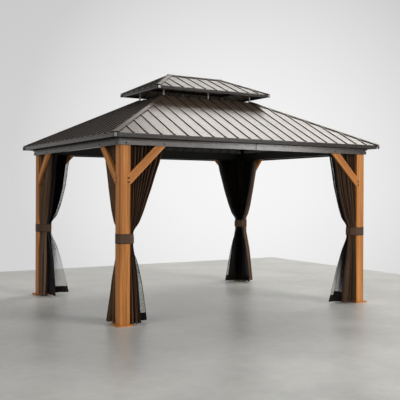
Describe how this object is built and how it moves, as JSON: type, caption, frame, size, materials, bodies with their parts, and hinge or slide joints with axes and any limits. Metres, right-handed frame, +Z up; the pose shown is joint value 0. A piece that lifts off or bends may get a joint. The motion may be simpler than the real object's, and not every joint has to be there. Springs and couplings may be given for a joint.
{
  "type": "metal gazebo",
  "caption": "Hardtop garden gazebo: square wood-look posts with knee braces carry a two-tier hipped standing-seam metal roof, with tied-back curtains and nets",
  "frame": {"origin": "on the ground under the middle of the roof", "axes": "+Z up; X along the long sides, +X to the right seen from the front; the front faces -Y"},
  "size_m": [3.66, 3.05, 2.9091],
  "materials": {
    "post_wood_grain": "wood-grain print over powder-coated aluminium, satin",
    "beam_bronze": "dark bronze powder coat, satin with a soft sheen",
    "roof_sheet": "brown coated galvanised steel sheet, satin, mirrors the sky at a low angle",
    "roof_cap": "brown coated galvanised steel, satin",
    "roof_frame": "dark bronze powder coat, satin",
    "stub_steel": "bare galvanised steel, dull",
    "rail_bronze": "dark bronze anodised, satin",
    "curtain_cloth": "dark brown woven polyester, soft matt folds",
    "net_mesh": "fine black polyester mesh with a solid brown hem, see-through in one layer",
    "tie_cloth": "dark brown woven polyester band, matt"
  },
  "bodies": {
    "root": {"back_beam": "beam_bronze", "back_braces": "post_wood_grain", "back_left_curtains": "curtain_cloth", "back_left_nets": "net_mesh", "back_left_post": "post_wood_grain", "back_left_tie_band": "tie_cloth", "back_lower_roof": "roof_sheet", "back_right_curtains": "curtain_cloth", "back_right_nets": "net_mesh", "back_right_post": "post_wood_grain", "back_right_tie_band": "tie_cloth", "back_upper_roof": "roof_sheet", "centre_rafters": "roof_frame", "curtain_rails": "rail_bronze", "foot_plates": "post_wood_grain", "front_beam": "beam_bronze", "front_braces": "post_wood_grain", "front_left_curtains": "curtain_cloth", "front_left_nets": "net_mesh", "front_left_post": "post_wood_grain", "front_left_tie_band": "tie_cloth", "front_lower_roof": "roof_sheet", "front_right_curtains": "curtain_cloth", "front_right_nets": "net_mesh", "front_right_post": "post_wood_grain", "front_right_tie_band": "tie_cloth", "front_upper_roof": "roof_sheet", "hip_rafters": "roof_frame", "left_beam": "beam_bronze", "left_braces": "post_wood_grain", "left_lower_roof": "roof_sheet", "left_upper_roof": "roof_sheet", "lower_curb": "roof_frame", "lower_eave_corners": "beam_bronze", "lower_eave_trims": "beam_bronze", "lower_hip_caps": "roof_cap", "ridge_cap": "roof_cap", "right_beam": "beam_bronze", "right_braces": "post_wood_grain", "right_lower_roof": "roof_sheet", "right_upper_roof": "roof_sheet", "stub_posts": "stub_steel", "upper_curb": "roof_frame", "upper_eave_corners": "beam_bronze", "upper_eave_trims": "beam_bronze", "upper_hip_caps": "roof_cap"}
  },
  "joints": []
}
